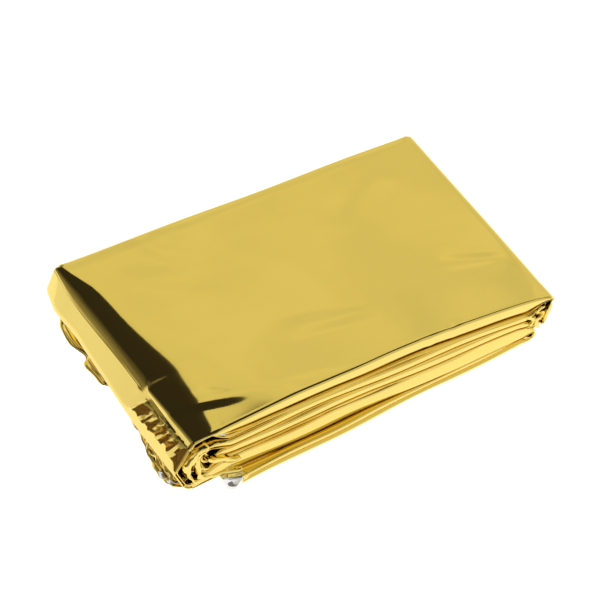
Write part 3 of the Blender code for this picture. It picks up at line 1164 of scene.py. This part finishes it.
def glowing(name, colour, strength, cloud_scale, uneven, dark_x, bright_x):
    """A cloth diffuser with a lamp behind it: its light is a little uneven, and falls off towards dark_x."""
    material, nodes, links = new_material(name)
    nodes.remove(nodes["Principled BSDF"])
    place = add_node(nodes, "ShaderNodeTexCoord")
    cloud = add_node(nodes, "ShaderNodeTexNoise", Scale=cloud_scale, Detail=2.0)
    links.new(place.outputs["Object"], cloud.inputs["Vector"])
    low, high = (1 - uneven) * strength, (1 + uneven / 2) * strength
    power = add_node(nodes, "ShaderNodeMapRange", From_Min=0.3, From_Max=0.7, To_Min=low, To_Max=high)
    links.new(cloud.outputs["Fac"], power.inputs["Value"])
    split = add_node(nodes, "ShaderNodeSeparateXYZ")
    links.new(place.outputs["Object"], split.inputs["Vector"])
    fade = add_node(nodes, "ShaderNodeMapRange", From_Min=dark_x, From_Max=bright_x, To_Min=DIM_SHARE)
    links.new(split.outputs["X"], fade.inputs["Value"])
    light = add_node(nodes, "ShaderNodeMath")
    light.operation = "MULTIPLY"
    links.new(power.outputs["Result"], light.inputs[0])
    links.new(fade.outputs["Result"], light.inputs[1])
    glow = add_node(nodes, "ShaderNodeEmission", Color=colour)
    links.new(light.outputs["Value"], glow.inputs["Strength"])
    links.new(glow.outputs["Emission"], nodes["Material Output"].inputs["Surface"])
    return material


PANEL_STEPS = 12
PANEL_DISTANCE = 2.6


def add_panel(
    name, azimuths, elevations, colour, strength, cloud_scale=4.0, uneven=0.12, dark_x=5.0, bright_x=4.0
):
    """A curved panel that faces the packet. Azimuth 0 is behind it and 90 to its right, in degrees."""
    points = []
    for i in range(PANEL_STEPS + 1):
        for j in range(PANEL_STEPS + 1):
            a = math.radians(mix(*azimuths, i / PANEL_STEPS))
            e = math.radians(mix(*elevations, j / PANEL_STEPS))
            away = Vector((math.sin(a) * math.cos(e), math.cos(a) * math.cos(e), math.sin(e)))
            points.append(away * PANEL_DISTANCE)
    faces = grid_faces(0, PANEL_STEPS + 1, PANEL_STEPS + 1)
    material = glowing(name, colour, strength, cloud_scale, uneven, dark_x, bright_x)
    panel = add_mesh(name, points, faces, material)


TABLE = 12.0          # half the table's size, in metres


def add_floor():
    material, nodes, _ = new_material("white_table")
    shader = nodes["Principled BSDF"]
    shader.inputs["Base Color"].default_value = (0.85, 0.85, 0.85, 1.0)
    shader.inputs["Roughness"].default_value = 0.9
    shader.inputs["Specular IOR Level"].default_value = 0.0
    shader.inputs["Emission Color"].default_value = (0.95, 0.96, 1.0, 1.0)
    shader.inputs["Emission Strength"].default_value = 0.9
    corners = [(-TABLE, -TABLE, 0), (TABLE, -TABLE, 0), (TABLE, TABLE, 0), (-TABLE, TABLE, 0)]
    floor = add_mesh("floor", corners, [(0, 1, 2, 3)], material)


def light_room():
    """Light that changes with height alone, from the white horizon up to the dark ceiling."""
    world = bpy.data.worlds.new("studio")
    bpy.context.scene.world = world
    world.use_nodes = True
    nodes = world.node_tree.nodes
    links = world.node_tree.links
    place = add_node(nodes, "ShaderNodeTexCoord")
    split = add_node(nodes, "ShaderNodeSeparateXYZ")
    links.new(place.outputs["Generated"], split.inputs["Vector"])
    level = add_node(nodes, "ShaderNodeMapRange", From_Min=-1.0)
    links.new(split.outputs["Z"], level.inputs["Value"])
    ramp = add_node(nodes, "ShaderNodeValToRGB")
    stops = ramp.color_ramp.elements
    while len(stops) < len(ROOM):
        stops.new(0.5)
    for stop, (height, colour) in zip(stops, ROOM):
        stop.position = (height + 1) / 2
        stop.color = (*colour, 1.0)
    links.new(level.outputs["Result"], ramp.inputs["Fac"])
    links.new(ramp.outputs["Color"], nodes["Background"].inputs["Color"])


add_floor()
light_room()

CARD_HEIGHTS = (3, 56)
# Each row is what add_panel is given, in its own order.
PANELS = (
    ("back_panel", (19.5, 80), (12, 54), (0.84, 0.80, 0.56, 1.0), 1.0),
    ("front_panel", (100, 205), (15, 66), (0.95, 0.92, 0.78, 1.0), 0.8),
    ("left_cloth", (-60, -10), (30, 60), (0.42, 0.38, 0.26, 1.0), 0.9, 9.0, 0.5, -0.3, -1.5),
    ("brown_card", (-90, -62), CARD_HEIGHTS, (0.16, 0.10, 0.05, 1.0), 1.0, 6.0, 0.6),
    ("amber_card", (-98, -90), CARD_HEIGHTS, (0.5, 0.3, 0.12, 1.0), 1.0, 6.0, 0.5),
    ("olive_card", (-152, -98), CARD_HEIGHTS, (0.26, 0.25, 0.18, 1.0), 1.0, 6.0, 0.6),
)
for panel in PANELS:
    add_panel(*panel)
print("panels and cards:", [panel[0] for panel in PANELS])
bpy.context.scene.view_settings.view_transform = "Standard"
